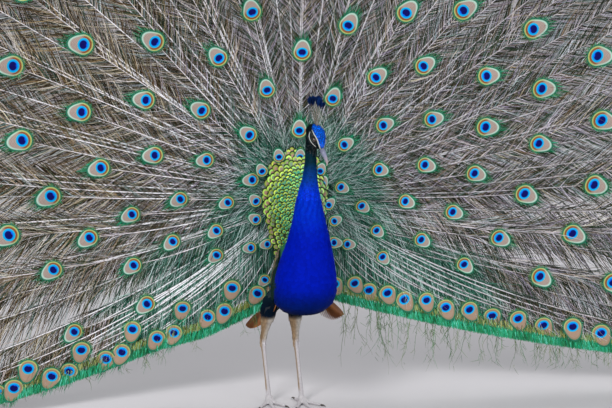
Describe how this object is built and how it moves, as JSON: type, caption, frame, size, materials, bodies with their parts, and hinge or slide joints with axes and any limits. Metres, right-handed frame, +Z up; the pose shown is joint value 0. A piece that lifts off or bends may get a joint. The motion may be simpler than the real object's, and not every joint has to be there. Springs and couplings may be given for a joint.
{
  "type": "displaying peacock",
  "caption": "Life-size adult Indian peafowl cock standing on both feet with his long train raised in a full fan, wings lowered and head turned slightly to his left.",
  "frame": {"origin": "on the floor, under the middle of the box round the whole bird", "axes": "+Z up; the bird faces -Y, turned 10 degrees towards +X, and his fan spreads along X"},
  "size_m": [2.4196, 0.5498, 1.5896],
  "materials": {
    "blue_plumage": "satin",
    "dark_plumage": "satin",
    "bill_horn": "satin",
    "eye": "gloss",
    "crest": "matte",
    "shield": "satin",
    "train": "matte",
    "tail": "matte",
    "thigh_plumage": "matte",
    "leg_skin": "matte",
    "claw": "satin",
    "wing_coverts": "matte",
    "wing_primaries": "matte"
  },
  "bodies": {
    "root": {"head": "blue_plumage", "neck_upper": "dark_plumage", "neck_middle": "blue_plumage", "neck_lower": "blue_plumage", "breast": "blue_plumage", "trunk": "dark_plumage", "rump": "dark_plumage", "bill_upper": "bill_horn", "bill_lower": "bill_horn", "eye_right": "eye", "eye_left": "eye", "crest": "crest", "back_shield": "shield", "train_01": "train", "train_02": "train", "train_03": "train", "train_04": "train", "train_05": "train", "train_06": "train", "train_07": "train", "train_08": "train", "train_09": "train", "train_10": "train", "train_11": "train", "train_12": "train", "tail_1": "tail", "tail_2": "tail", "tail_3": "tail", "wing_right_coverts": "wing_coverts", "wing_right_primaries": "wing_primaries", "wing_left_coverts": "wing_coverts", "wing_left_primaries": "wing_primaries", "thigh_right": "thigh_plumage", "shank_right": "leg_skin", "foot_right": "leg_skin", "claw_right_1": "claw", "claw_right_2": "claw", "claw_right_3": "claw", "claw_right_4": "claw", "thigh_left": "thigh_plumage", "shank_left": "leg_skin", "foot_left": "leg_skin", "claw_left_1": "claw", "claw_left_2": "claw", "claw_left_3": "claw", "claw_left_4": "claw"}
  },
  "joints": []
}
